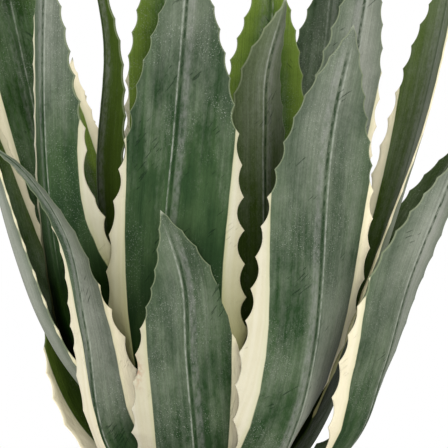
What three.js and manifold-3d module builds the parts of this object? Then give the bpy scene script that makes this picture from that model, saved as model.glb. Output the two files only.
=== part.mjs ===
// Potted century plant: a variegated agave in a plain terracotta pot.
// Units are millimetres, Z is up, the pot stands on z = 0 and the viewer stands at -Y.
import * as THREE from "three";
import { mergeVertices } from "three/addons/utils/BufferGeometryUtils.js";
import Module from "manifold-3d";

const wasm = await Module();
wasm.setup();

// Pot, soil and stem
const POT_HEIGHT = 185;
const POT_FOOT_RADIUS = 76;
const POT_TOP_RADIUS = 98;
const POT_WALL = 7;
const POT_FLOOR = 10;
const RIM_HEIGHT = 30;
const RIM_OUT = 6;
const POT_CHAMFER = 3;
const POT_SIDES = 48;
const DRAIN_RADIUS = 6;
const DRAIN_RING = 42;
const DRAIN_COUNT = 4;
const SOIL_LEVEL = 167;
const SOIL_DOME = 5;
const SOIL_COLLAR = 6;
const SOIL_SIDES = 40;
const STEM_RADIUS = 27;
const STEM_FOOT = 132;
const STEM_SHOULDER = 196;
const SPEAR_FOOT = 226;
const SPEAR_TOP = 372;
const SPEAR_RADIUS = 9;
const SPEAR_POINT = 4;
const STEM_SIDES = 20;
const GAP = 0.3;

// Leaf blade
const MARGIN_THICKNESS = 1.1;
const TIP_THICKNESS = 1.8;
const BASE_THICKNESS = 8;
const SHOULDER_SHARE = 0.6; // how much of the midrib's extra thickness is left half way out
const LEAST_HALF = 1.2;
const BELLY = 1.3; // above 1 the halves curve up towards their margins, so the leaf is a gutter
const USUAL_NECK = [0.38, 0.36]; // width at the root as a share, and how far up it is widest
const ROOT_DEPTH = 12;
const TOOTH_FIRST = 11;
const TOOTH_GROWTH = 0.06;
const TOOTH_DEPTH_TIP = 0.9;
const TOOTH_DEPTH_GROWTH = 0.016;
const TOOTH_DEPTH_MOST = 3.8;
const TOOTHED_SHARE = 0.84;

// Each leaf: root is the direction in degrees from the viewer's side (to the right is positive) and
// the height on the stem; line is the way of its midrib; face is the direction that the outer face
// looks to; width is across both halves laid flat; taper is how bluntly it closes to the tip; fold is
// how far each half rises from flat, in degrees. The values of face and fold are spaced evenly from
// the root to the tip.
const LEAVES = [
  {
    name: "leaf_01",
    root: [-12, 184],
    line: [[-6, -58, 231], [-11, -74, 290], [-14, -82, 340], [-28, -88, 385.5]],
    face: [0, -2, 12],
    width: 96,
    taper: 2.5,
    fold: [30, 20, 22],
    neck: [0.4, 0.3],
  },
  {
    name: "leaf_02",
    root: [-56, 177],
    line: [[-63, -30, 233], [-76, -63, 308], [-88, -68, 366], [-115, -75, 409], [-145, -82, 431]],
    face: [-63, -31, -2, 10],
    width: 81,
    taper: 1.5,
    fold: [30, 35, 64, 60],
    neck: [0.22, 0.41],
  },
  {
    name: "leaf_03",
    root: [84, 176],
    line: [[88, -36, 231], [112, -50, 284], [130, -58, 345], [163, -64, 424]],
    face: [130, 75, 51, 14],
    width: 91,
    taper: 2.6,
    fold: [30, 23, 22, 24],
    neck: [0.12, 0.55],
  },
  {
    name: "leaf_04",
    root: [44, 175],
    line: [[48, -64, 231], [67, -76, 300], [77, -77, 424], [93, -78, 502]],
    face: [34, 38, 14, 8],
    width: 93,
    taper: 3.9,
    fold: [33, 37, 16, 14],
    neck: [0.36, 0.42],
  },
  {
    name: "leaf_05",
    root: [-20, 192],
    line: [[-14, -46, 231], [-26, -68, 327], [-18, -72, 440], [-9, -70, 558]],
    face: [-18, -21, 0],
    width: 108,
    taper: 3.3,
    fold: [30, 18, 20],
  },
  {
    name: "leaf_06",
    root: [-78, 196],
    line: [[-43, -12, 240], [-70, -20, 275], [-91, -24, 327], [-104, -28, 424], [-104, -30, 559]],
    face: [-72, -46, -49, -10],
    width: 98,
    taper: 2.3,
    fold: [30, 28, 26, 25],
    neck: [0.38, 0.3],
  },
  {
    name: "leaf_07",
    root: [-100, 180],
    line: [[-60, 6, 245], [-99.5, 8, 298], [-125, 10, 360], [-157, 14, 476]],
    face: [-100, -104, -104],
    width: 78,
    taper: 4,
    fold: [30, 28, 28],
  },
  {
    name: "leaf_08",
    root: [-125, 177],
    line: [[-58, 28, 231], [-84, 38, 275], [-100, 46, 352]],
    face: [-125, -152, -160],
    width: 64,
    taper: 4,
    fold: [30, 20, 20],
  },
  {
    name: "leaf_09",
    root: [-142, 192],
    line: [[-50, 62, 240], [-87, 92, 327], [-113, 104, 424], [-144, 110, 565]],
    face: [-140, -150, -160],
    width: 92,
    taper: 6,
    fold: [30, 20, 20],
  },
  {
    name: "leaf_10",
    root: [-150, 204],
    line: [[-33, 28, 255], [-63, 40, 346], [-84, 46, 418], [-91, 52, 487]],
    face: [-145, -163, -165],
    width: 72,
    taper: 3,
    fold: [30, 20, 20],
    neck: [0.3, 0.45],
  },
  {
    name: "leaf_11",
    root: [-96, 214],
    line: [[-42, -6, 262], [-62, -6, 340], [-69, -6, 410], [-66, -4, 490], [-76, -4, 550]],
    face: [-96, -68, -66],
    width: 54,
    taper: 4,
    fold: [30, 22, 22],
  },
  {
    name: "leaf_12",
    root: [-178, 200],
    line: [[-10, 50, 255], [-23, 70, 359.5], [-26, 76, 457], [-27, 78, 576]],
    face: [-172, -170, -172],
    width: 76,
    taper: 6,
    fold: [30, 20, 20],
  },
  {
    name: "leaf_13",
    root: [168, 208],
    line: [[12, 22, 249], [28, 38, 359.5], [38, 46, 463.5], [43.5, 50, 554.5]],
    face: [168, 172, 176],
    width: 78,
    taper: 4.5,
    fold: [30, 20, 20],
  },
  {
    name: "leaf_14",
    root: [146, 200],
    line: [[30, 42, 249], [58, 70, 359.5], [77, 87, 463.5], [88, 94, 562]],
    face: [148, 152, 158],
    width: 80,
    taper: 4.5,
    fold: [30, 20, 20],
  },
  {
    name: "leaf_15",
    root: [30, 204],
    line: [[24, -22, 262], [36, -30, 327], [37, -36, 430], [39, -38, 475], [52, -40, 521]],
    face: [30, 30, 40],
    width: 60,
    taper: 5,
    fold: [30, 24, 24],
  },
  {
    name: "leaf_16",
    root: [62, 196],
    line: [[42, -24, 249], [72, -40, 346], [86, -46, 424.5], [107, -50, 562]],
    face: [62, 30, 8],
    width: 66,
    taper: 4.5,
    fold: [30, 22, 20],
  },
  {
    name: "leaf_17",
    root: [100, 187],
    line: [[68, 8, 236], [109, 14, 340], [138, 22, 435], [167, 34, 561]],
    face: [100, 106, 135],
    width: 76,
    taper: 4,
    fold: [30, 22, 24],
  },
  {
    name: "leaf_18",
    root: [120, 178],
    line: [[60, 28, 223], [91, 38, 281], [119, 44, 346], [177, 52, 440]],
    face: [114, 112, 110],
    width: 70,
    taper: 4,
    fold: [30, 22, 22],
  },
  {
    name: "leaf_19",
    root: [170, 186],
    line: [[6, 60, 236], [10, 84, 300], [12, 98, 385]],
    face: [172, 174, 176],
    width: 76,
    taper: 3.5,
    fold: [30, 20, 22],
  },
  {
    name: "leaf_20",
    root: [134, 186],
    line: [[36, 62, 232], [48, 82, 300], [54, 96, 390]],
    face: [134, 138, 144],
    width: 70,
    taper: 4,
    fold: [30, 20, 22],
  },
  {
    name: "leaf_21",
    root: [-172, 176],
    line: [[-14, 78, 232], [-22, 108, 300], [-26, 124, 410]],
    face: [186, 182, 180],
    width: 80,
    taper: 4,
    fold: [30, 20, 22],
  },
];

const PAINT = {
  terracotta: { color: 0xb5694a, roughness: 0.85, metalness: 0 },
  soil: { color: 0x3a2c22, roughness: 0.98, metalness: 0 },
  stem: { color: 0xa9ad7c, roughness: 0.7, metalness: 0 },
  leaf: { color: 0x5f7668, roughness: 0.55, metalness: 0 },
};

const rad = THREE.MathUtils.degToRad;

// A closed mesh of numbered corners as a solid that can be cut.
function solidFrom(geometry) {
  const bare = geometry.clone();
  bare.deleteAttribute("normal");
  bare.deleteAttribute("uv");
  const merged = mergeVertices(bare, 1e-4);
  return new wasm.Manifold(
    new wasm.Mesh({
      numProp: 3,
      vertProperties: new Float32Array(merged.attributes.position.array),
      triVerts: new Uint32Array(merged.index.array),
    }),
  );
}

function geometryFrom(solid) {
  const mesh = solid.getMesh();
  const geometry = new THREE.BufferGeometry();
  geometry.setAttribute("position", new THREE.BufferAttribute(mesh.vertProperties, 3));
  geometry.setIndex(new THREE.BufferAttribute(mesh.triVerts, 1));
  geometry.computeVertexNormals();
  return geometry;
}

// A cut can leave scraps beside the body, so only the largest piece is kept.
function largestPiece(solid) {
  const pieces = solid.decompose();
  return pieces.reduce((a, b) => (a.volume() >= b.volume() ? a : b));
}

// A profile of [radius, height] pairs turned about Z.
function turned(profile, sides) {
  const points = profile.map(([r, z]) => new THREE.Vector2(r, z));
  return new THREE.LatheGeometry(points, sides).rotateX(Math.PI / 2);
}

// Inner radius of the pot's straight wall at a height.
function potInside(z) {
  const share = z / POT_HEIGHT;
  return POT_FOOT_RADIUS + (POT_TOP_RADIUS - POT_FOOT_RADIUS) * share - POT_WALL;
}

// A thrown pot with a thick rolled rim and drain holes in its floor.
function potGeometry() {
  const rimFoot = POT_HEIGHT - RIM_HEIGHT;
  const outside = (z) => potInside(z) + POT_WALL;
  const profile = [
    [0, 0],
    [POT_FOOT_RADIUS - POT_CHAMFER, 0],
    [POT_FOOT_RADIUS, POT_CHAMFER],
    [outside(rimFoot - POT_CHAMFER), rimFoot - POT_CHAMFER],
    [outside(rimFoot) + RIM_OUT - POT_CHAMFER, rimFoot],
    [outside(rimFoot) + RIM_OUT, rimFoot + POT_CHAMFER],
    [outside(POT_HEIGHT) + RIM_OUT, POT_HEIGHT - POT_CHAMFER],
    [outside(POT_HEIGHT) + RIM_OUT - POT_CHAMFER, POT_HEIGHT],
    [potInside(POT_HEIGHT) + POT_CHAMFER, POT_HEIGHT],
    [potInside(POT_HEIGHT), POT_HEIGHT - POT_CHAMFER],
    [potInside(POT_FLOOR), POT_FLOOR],
    [0, POT_FLOOR],
  ];
  let pot = solidFrom(turned(profile, POT_SIDES));
  for (let i = 0; i < DRAIN_COUNT; i++) {
    const angle = ((i + 0.5) / DRAIN_COUNT) * 2 * Math.PI;
    const drill = new THREE.CylinderGeometry(DRAIN_RADIUS, DRAIN_RADIUS, 3 * POT_FLOOR, 12);
    drill.rotateX(Math.PI / 2);
    drill.translate(DRAIN_RING * Math.cos(angle), DRAIN_RING * Math.sin(angle), POT_FLOOR / 2);
    pot = pot.subtract(solidFrom(drill));
  }
  return geometryFrom(pot);
}

// The stem's outline, with room around it where something fits against it. Above the shoulder it
// draws in to the spear, the tight roll of leaves that haven't opened yet.
function stemProfile(room) {
  return [
    [0, STEM_FOOT - room],
    [STEM_RADIUS + room, STEM_FOOT - room],
    [STEM_RADIUS + room, STEM_SHOULDER],
    [SPEAR_RADIUS * 1.45 + room, SPEAR_FOOT],
    [SPEAR_RADIUS + room, SPEAR_FOOT * 0.8 + SPEAR_TOP * 0.2],
    [SPEAR_RADIUS * 0.8 + room, SPEAR_FOOT * 0.4 + SPEAR_TOP * 0.6],
    [SPEAR_RADIUS * 0.17 + room, SPEAR_TOP - SPEAR_POINT + room],
    [0, SPEAR_TOP + room],
  ];
}

// The soil fills the pot, falls away a little to the wall and has a plain hole for the stem.
function soilGeometry() {
  const foot = POT_FLOOR + GAP;
  const holeFoot = STEM_FOOT - GAP;
  const hole = STEM_RADIUS + GAP;
  const edge = SOIL_LEVEL - SOIL_DOME;
  const profile = [
    [0, foot],
    [potInside(foot) - GAP, foot],
    [potInside(edge) - GAP, edge],
    [potInside(edge) * 0.7, SOIL_LEVEL - SOIL_DOME * 0.4],
    [hole + SOIL_COLLAR, SOIL_LEVEL],
    [hole, SOIL_LEVEL],
    [hole, holeFoot],
    [0, holeFoot],
  ];
  return turned(profile, SOIL_SIDES);
}

// Smooth way through values that are spaced evenly from the root to the tip: the polynomial that meets
// them all.
function through(values, u) {
  const steps = values.length - 1;
  return values.reduce((sum, value, i) => {
    let share = value;
    for (let j = 0; j <= steps; j++) {
      if (j !== i) share *= (steps * u - j) / (i - j);
    }
    return sum + share;
  }, 0);
}

// Number of teeth between the tip and a distance from it, and the other way round.
const teethTo = (s) => Math.log(1 + (TOOTH_GROWTH * s) / TOOTH_FIRST) / TOOTH_GROWTH;
const reachOf = (teeth) => (TOOTH_FIRST / TOOTH_GROWTH) * (Math.exp(TOOTH_GROWTH * teeth) - 1);

function toothDepth(s) {
  return Math.min(TOOTH_DEPTH_TIP + TOOTH_DEPTH_GROWTH * s, TOOTH_DEPTH_MOST);
}

// Share of the full width at u, from the narrow neck to the widest part and in to the tip.
function outline(u, leaf) {
  const [neck, widest] = leaf.neck ?? USUAL_NECK;
  const rise = Math.min(u / widest, 1);
  const smooth = rise * rise * (3 - 2 * rise);
  return (neck + (1 - neck) * smooth) * (1 - Math.pow(u, leaf.taper));
}

// Stations from root to tip as distances from the tip: one at each tooth and each hollow.
function stations(length) {
  const list = [1, 0.95, 0.9].map((share) => share * length);
  const most = Math.floor(2 * teethTo(length * TOOTHED_SHARE));
  for (let half = most; half >= 1; half--) {
    list.push(reachOf(half / 2));
  }
  return list;
}

// A leaf is a closed loft of eight-cornered sections: five corners on the outer face, three on the inner.
function leafGeometry(leaf, room = 0) {
  const [azimuth, height] = leaf.root;
  const inward = STEM_RADIUS - ROOT_DEPTH;
  const root = [inward * Math.sin(rad(azimuth)), -inward * Math.cos(rad(azimuth)), height];
  const points = [root, ...leaf.line].map((p) => new THREE.Vector3(...p));
  const curve = new THREE.CatmullRomCurve3(points, false, "catmullrom", 0.5);
  const length = curve.getLength();
  const corners = [];
  const rows = stations(length);
  for (const s of rows) {
    const u = 1 - s / length;
    const centre = curve.getPointAt(u);
    const along = curve.getTangentAt(u);
    const look = rad(through(leaf.face, u));
    const out = new THREE.Vector3(Math.sin(look), -Math.cos(look), 0);
    out.addScaledVector(along, -out.dot(along)).normalize();
    const side = new THREE.Vector3().crossVectors(along, out);
    const fold = rad(through(leaf.fold, u));
    const half = Math.max((leaf.width / 2) * outline(u, leaf), LEAST_HALF);
    const toothed = s < length * TOOTHED_SHARE ? toothDepth(s) : 0;
    const beat = Math.round(2 * teethTo(s)) % 2;
    const left = half - toothed * beat + room;
    const right = half - toothed * (1 - beat) + room;
    const middle = BASE_THICKNESS + (TIP_THICKNESS - BASE_THICKNESS) * Math.sqrt(u) + 2 * room;
    const edge = MARGIN_THICKNESS + 2 * room;
    const corner = (reach, share, thick) => {
      const across = reach * share * Math.cos(fold);
      const rise = Math.abs(reach) * Math.pow(share, BELLY) * Math.sin(fold);
      corners.push(
        centre
          .clone()
          .addScaledVector(side, across)
          .addScaledVector(out, thick / 2 - rise),
      );
    };
    const between = edge + (middle - edge) * SHOULDER_SHARE;
    corner(-left, 1, edge);
    corner(-left, 0.5, between);
    corner(right, 0, middle);
    corner(right, 0.5, between);
    corner(right, 1, edge);
    corner(right, 1, -edge);
    corner(right, 0, -middle);
    corner(-left, 1, -edge);
  }
  const apex = corners.length;
  corners.push(curve.getPointAt(1));
  const ring = 8;
  const faces = [[0, 7, 1], [1, 7, 6], [1, 6, 2], [2, 6, 3], [3, 6, 5], [3, 5, 4]];
  for (let row = 0; row + 1 < rows.length; row++) {
    for (let k = 0; k < ring; k++) {
      const a = row * ring + k;
      const b = row * ring + ((k + 1) % ring);
      const c = a + ring;
      const d = b + ring;
      // Both faces take the diagonal that leans the same way, so the thin blade never crosses itself.
      if (k < 4) {
        faces.push([a, b, d], [a, d, c]);
      } else {
        faces.push([a, b, c], [b, d, c]);
      }
    }
  }
  const last = (rows.length - 1) * ring;
  for (let k = 0; k < ring; k++) {
    faces.push([last + k, last + ((k + 1) % ring), apex]);
  }
  const geometry = new THREE.BufferGeometry();
  geometry.setAttribute(
    "position",
    new THREE.BufferAttribute(new Float32Array(corners.flatMap((p) => p.toArray())), 3),
  );
  geometry.setIndex(faces.flat());
  return geometry;
}

function piece(name, geometry, paint) {
  const mesh = new THREE.Mesh(geometry, new THREE.MeshStandardMaterial(PAINT[paint]));
  mesh.name = name;
  return mesh;
}

const plant = new THREE.Group();
plant.add(piece("pot", potGeometry(), "terracotta"));
plant.add(piece("soil", soilGeometry(), "soil"));
plant.add(piece("stem", turned(stemProfile(0), STEM_SIDES), "stem"));

// The higher a leaf stands on the stem, the nearer it is to the heart; a leaf gives way to the stem
// and to the leaves further in, with the gap between them.
const inner = [solidFrom(turned(stemProfile(GAP), STEM_SIDES))];
const blades = new Map();
const fromTheHeart = [...LEAVES].sort((a, b) => b.root[1] - a.root[1]);
for (const leaf of fromTheHeart) {
  const blade = inner.reduce((rest, solid) => rest.subtract(solid), solidFrom(leafGeometry(leaf)));
  blades.set(leaf.name, geometryFrom(largestPiece(blade)));
  inner.push(solidFrom(leafGeometry(leaf, GAP)));
}
for (const leaf of LEAVES) {
  plant.add(piece(leaf.name, blades.get(leaf.name), "leaf"));
}

export default plant;
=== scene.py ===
# %% [markdown]
# # A potted century plant with cream margins
# The real thing is a rosette of thick, folded leaves on a short stem, in a clay pot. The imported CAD
# model gives the frame: where the pot stands and where each leaf runs. Here every leaf is dressed,
# so that its scalloped margin, its rib, its grey bloom and its cream edges show.

# %% Load the frame
import math
import random

import bmesh
import bpy
import numpy as np
from mathutils import Matrix, Vector, noise


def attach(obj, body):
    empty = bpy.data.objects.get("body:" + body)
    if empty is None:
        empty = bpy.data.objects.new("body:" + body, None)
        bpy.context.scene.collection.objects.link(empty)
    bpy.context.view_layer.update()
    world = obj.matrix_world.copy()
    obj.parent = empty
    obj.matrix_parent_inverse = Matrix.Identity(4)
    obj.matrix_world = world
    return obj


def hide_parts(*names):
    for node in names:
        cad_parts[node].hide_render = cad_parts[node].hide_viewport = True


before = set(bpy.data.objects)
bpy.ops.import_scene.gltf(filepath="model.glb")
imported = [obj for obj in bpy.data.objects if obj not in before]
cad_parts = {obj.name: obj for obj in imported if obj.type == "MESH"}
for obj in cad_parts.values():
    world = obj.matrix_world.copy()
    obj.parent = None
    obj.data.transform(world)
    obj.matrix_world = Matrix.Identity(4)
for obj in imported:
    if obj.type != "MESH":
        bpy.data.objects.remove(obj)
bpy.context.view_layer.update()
MM = 0.001
print("CAD nodes:", len(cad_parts))

# %% [markdown]
# ## Colours and shader nodes
# Colours are picked as sRGB hex values, as on a paint card, but a shader works with linear light, so
# one function turns one into the other. A second one adds a shader node of any kind: its settings are
# named, and each of its sockets is given a number, a colour or another node to read from.

# %% Colour and node helpers
def linear(hex_colour):
    """An sRGB hex colour as linear red, green, blue and alpha."""
    parts = [int(hex_colour[i : i + 2], 16) / 255 for i in (1, 3, 5)]
    return tuple([c / 12.92 if c <= 0.04045 else ((c + 0.055) / 1.055) ** 2.4 for c in parts] + [1.0])


def add(tree, kind, sockets=None, **settings):
    """A node in the tree. A socket is a number or a name, and a node gives its first live output."""
    made = tree.nodes.new("ShaderNode" + kind)
    for name, value in settings.items():
        setattr(made, name, value)
    for key, value in (sockets or {}).items():
        socket = made.inputs[key] if isinstance(key, int) else None
        socket = socket or next(s for s in made.inputs if s.enabled and s.name == key)
        if isinstance(value, bpy.types.Node):
            value = next(s for s in value.outputs if s.enabled)
        if isinstance(value, bpy.types.NodeSocket):
            tree.links.new(value, socket)
        else:
            socket.default_value = linear(value) if isinstance(value, str) else value
    return made


def new_material(name):
    """A material whose node tree is still empty, and that tree."""
    material = bpy.data.materials.new(name)
    material.use_nodes = True
    material.node_tree.nodes.clear()
    return material, material.node_tree

# %% [markdown]
# ## Camera, light and floor
# The picture is taken straight on with a long lens: leaves near the camera are hardly larger than
# those behind. The frame covers 291 mm of the plant at its middle. The room is white, and gives soft
# light from all round, a little more than the eye sees in its walls. Two large lamps model the folds
# from the left and the right, a small one near the camera lights the faces between them, and one behind
# lights the back.

# %% Camera
FRAME_WIDTH = 291.2
DISTANCE = 2500
SENSOR = 36
AIM_X, AIM_Z = 11.05, 376.4
camera_data = bpy.data.cameras.new("long_lens")
camera_data.sensor_width = SENSOR
camera_data.lens = SENSOR * DISTANCE / FRAME_WIDTH
camera_data.clip_end = 100
camera = bpy.data.objects.new("camera", camera_data)
camera.location = (AIM_X * MM, -DISTANCE * MM, AIM_Z * MM)
camera.rotation_euler = (math.pi / 2, 0, 0)
bpy.context.scene.collection.objects.link(camera)
bpy.context.scene.camera = camera
print("lens", round(camera_data.lens, 1), "mm")

# %% Light
HEART = Vector((0, 0, 0.35))


def area_lamp(name, place, size, power, colour):
    """A round soft lamp that looks at the middle of the plant."""
    data = bpy.data.lights.new(name, "AREA")
    data.shape = "DISK"
    data.size = size
    data.energy = power
    data.color = linear(colour)[:3]
    lamp = bpy.data.objects.new(name, data)
    lamp.location = place
    lamp.rotation_euler = (HEART - Vector(place)).to_track_quat("-Z", "Y").to_euler()
    bpy.context.scene.collection.objects.link(lamp)


area_lamp("key", (1.3, -2.0, 1.5), 1.2, 13, "#fffaf4")
area_lamp("fill", (-1.7, -1.6, 0.9), 1.5, 13, "#f9fbff")
area_lamp("front", (0.2, -2.7, 0.5), 1.0, 5, "#ffffff")
area_lamp("back", (0.6, 2.4, 1.6), 1.8, 18, "#fbfcff")
print("lamps:", len(bpy.data.lights))

# %% White room
ROOM_LIGHT = 1.1
world = bpy.data.worlds.new("white_room")
world.use_nodes = True
tree = world.node_tree
tree.nodes.clear()
seen = add(tree, "LightPath").outputs["Is Camera Ray"]
strength = add(tree, "MapRange", {"Value": seen, "To Min": ROOM_LIGHT})
add(tree, "OutputWorld", {"Surface": add(tree, "Background", {"Color": "#ffffff", "Strength": strength})})
bpy.context.scene.world = world
bpy.context.scene.view_settings.view_transform = "Standard"

# %% Floor
FLOOR_RADIUS = 2.2
board, tree = new_material("white_painted_board")
shader = add(tree, "BsdfPrincipled", {"Base Color": "#f4f3f0", "Roughness": 0.8})
add(tree, "OutputMaterial", {"Surface": shader})
bm = bmesh.new()
bmesh.ops.create_circle(bm, cap_ends=True, segments=96, radius=FLOOR_RADIUS)
floor_mesh = bpy.data.meshes.new("floor")
bm.to_mesh(floor_mesh)
bm.free()
floor_mesh.materials.append(board)
floor = bpy.data.objects.new("floor", floor_mesh)
bpy.context.scene.collection.objects.link(floor)

# %% [markdown]
# ## Where the leaves run
# Each leaf follows a smooth way through a few points, which are the same ones as in the CAD model:
# the direction and height of its root on the stem, then the way of its midrib, in millimetres. Its
# outer face looks in a direction that turns slowly from root to tip. Its two halves are folded back
# from that face. Directions and folds are in degrees, spaced evenly from the root to the tip.

# %% The leaves
# name: root, midrib, face, width, taper, fold, neck
LEAVES = {
    "leaf_01": (
        (-12, 184),
        [(-6, -58, 231), (-11, -74, 290), (-14, -82, 340), (-28, -88, 385.5)],
        (0, -2, 12), 96, 2.5, (30, 20, 22), (0.4, 0.3),
    ),
    "leaf_02": (
        (-56, 177),
        [(-63, -30, 233), (-76, -63, 308), (-88, -68, 366), (-115, -75, 409), (-145, -82, 431)],
        (-63, -31, -2, 10), 81, 1.5, (30, 35, 64, 60), (0.22, 0.41),
    ),
    "leaf_03": (
        (84, 176),
        [(88, -36, 231), (112, -50, 284), (130, -58, 345), (163, -64, 424)],
        (130, 75, 51, 14), 91, 2.6, (30, 23, 22, 24), (0.12, 0.55),
    ),
    "leaf_04": (
        (44, 175),
        [(48, -64, 231), (67, -76, 300), (77, -77, 424), (93, -78, 502)],
        (34, 38, 14, 8), 93, 3.9, (33, 37, 16, 14), (0.36, 0.42),
    ),
    "leaf_05": (
        (-20, 192),
        [(-14, -46, 231), (-26, -68, 327), (-18, -72, 440), (-9, -70, 558)],
        (-18, -21, 0), 108, 3.3, (30, 18, 20), None,
    ),
    "leaf_06": (
        (-78, 196),
        [(-43, -12, 240), (-70, -20, 275), (-91, -24, 327), (-104, -28, 424), (-104, -30, 559)],
        (-72, -46, -49, -10), 98, 2.3, (30, 28, 26, 25), (0.38, 0.3),
    ),
    "leaf_07": (
        (-100, 180),
        [(-60, 6, 245), (-99.5, 8, 298), (-125, 10, 360), (-157, 14, 476)],
        (-100, -104, -104), 78, 4, (30, 28, 28), None,
    ),
    "leaf_08": (
        (-125, 177),
        [(-58, 28, 231), (-84, 38, 275), (-100, 46, 352)],
        (-125, -152, -160), 64, 4, (30, 20, 20), None,
    ),
    "leaf_09": (
        (-142, 192),
        [(-50, 62, 240), (-87, 92, 327), (-113, 104, 424), (-144, 110, 565)],
        (-140, -150, -160), 92, 6, (30, 20, 20), None,
    ),
    "leaf_10": (
        (-150, 204),
        [(-33, 28, 255), (-63, 40, 346), (-84, 46, 418), (-91, 52, 487)],
        (-145, -163, -165), 72, 3, (30, 20, 20), (0.3, 0.45),
    ),
    "leaf_11": (
        (-96, 214),
        [(-42, -6, 262), (-62, -6, 340), (-69, -6, 410), (-66, -4, 490), (-76, -4, 550)],
        (-96, -68, -66), 54, 4, (30, 22, 22), None,
    ),
    "leaf_12": (
        (-178, 200),
        [(-10, 50, 255), (-23, 70, 359.5), (-26, 76, 457), (-27, 78, 576)],
        (-172, -170, -172), 76, 6, (30, 20, 20), None,
    ),
    "leaf_13": (
        (168, 208),
        [(12, 22, 249), (28, 38, 359.5), (38, 46, 463.5), (43.5, 50, 554.5)],
        (168, 172, 176), 78, 4.5, (30, 20, 20), None,
    ),
    "leaf_14": (
        (146, 200),
        [(30, 42, 249), (58, 70, 359.5), (77, 87, 463.5), (88, 94, 562)],
        (148, 152, 158), 80, 4.5, (30, 20, 20), None,
    ),
    "leaf_15": (
        (30, 204),
        [(24, -22, 262), (36, -30, 327), (37, -36, 430), (39, -38, 475), (52, -40, 521)],
        (30, 30, 40), 60, 5, (30, 24, 24), None,
    ),
    "leaf_16": (
        (62, 196),
        [(42, -24, 249), (72, -40, 346), (86, -46, 424.5), (107, -50, 562)],
        (62, 30, 8), 66, 4.5, (30, 22, 20), None,
    ),
    "leaf_17": (
        (100, 187),
        [(68, 8, 236), (109, 14, 340), (138, 22, 435), (167, 34, 561)],
        (100, 106, 135), 76, 4, (30, 22, 24), None,
    ),
    "leaf_18": (
        (120, 178),
        [(60, 28, 223), (91, 38, 281), (119, 44, 346), (177, 52, 440)],
        (114, 112, 110), 70, 4, (30, 22, 22), None,
    ),
    "leaf_19": (
        (170, 186),
        [(6, 60, 236), (10, 84, 300), (12, 98, 385)],
        (172, 174, 176), 76, 3.5, (30, 20, 22), None,
    ),
    "leaf_20": (
        (134, 186),
        [(36, 62, 232), (48, 82, 300), (54, 96, 390)],
        (134, 138, 144), 70, 4, (30, 20, 22), None,
    ),
    "leaf_21": (
        (-172, 176),
        [(-14, 78, 232), (-22, 108, 300), (-26, 124, 410)],
        (186, 182, 180), 80, 4, (30, 20, 22), None,
    ),
}
USUAL_NECK = (0.38, 0.36)
print(len(LEAVES), "leaves")

# %% [markdown]
# ## How far the green reaches
# The green middle of a leaf runs down beside the midrib, and the leaf is cream from there to its
# margin. It is measured off each half in millimetres from the midrib, at places spaced evenly from
# the root to the tip, or once for all of it. Where the margin is closer, the leaf is green to its edge.

# %% Green bands
# name: the left half, then the right half, seen on the outer face
USUAL_GREEN = ((19, 26, 34), (20, 27, 34))
GREEN = {
    "leaf_01": ((32.5, 27.5, 31), (8, 27.5, 29)),
    "leaf_02": ((8, -0.8, 7.5, 13.5, 15), (28, 23.5, 18.5, 24, 30)),
    "leaf_03": ((8, 25.5, 27), (40,)),
    "leaf_04": ((20, 31.5, 33), (55, 46, 32.5, 31, 31)),
    "leaf_05": ((30, 34.5, 52), (36.5, 36.5, 37)),
    "leaf_06": ((28, 30, 26, 15.5, 14), (40.4, 41.4, 45.8, 28.4, 23.9, 28.7, 23.7)),
    "leaf_07": ((27, 28, 28, 19.5, 0), (12.8, 31, 34.4, 24.5, -2)),
    "leaf_08": ((20, 24, 28), (10, 19, 26)),
    "leaf_09": ((25, 30, 36), (12, 19, 27)),
    "leaf_10": ((30, 26, 19.5, 12.3, -7.5), (20, 15, 10, 1, -8)),
    "leaf_11": ((40,), (40,)),
    "leaf_12": ((19, 26, 34), (14, 30, 30.5, 30, 34)),
    "leaf_13": ((16, 30, 36), (16, 30, 36)),
    "leaf_14": ((16, 30, 38), (16, 30, 38)),
    "leaf_15": ((40,), (40,)),
    "leaf_16": ((20, 28, 34), (14, 19, 25)),
    "leaf_17": ((12, 28.5, 31, 22.5, 0), (10, 20, 25.5)),
    "leaf_18": ((18, 25, 33), (10, 22, 35)),
}
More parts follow.
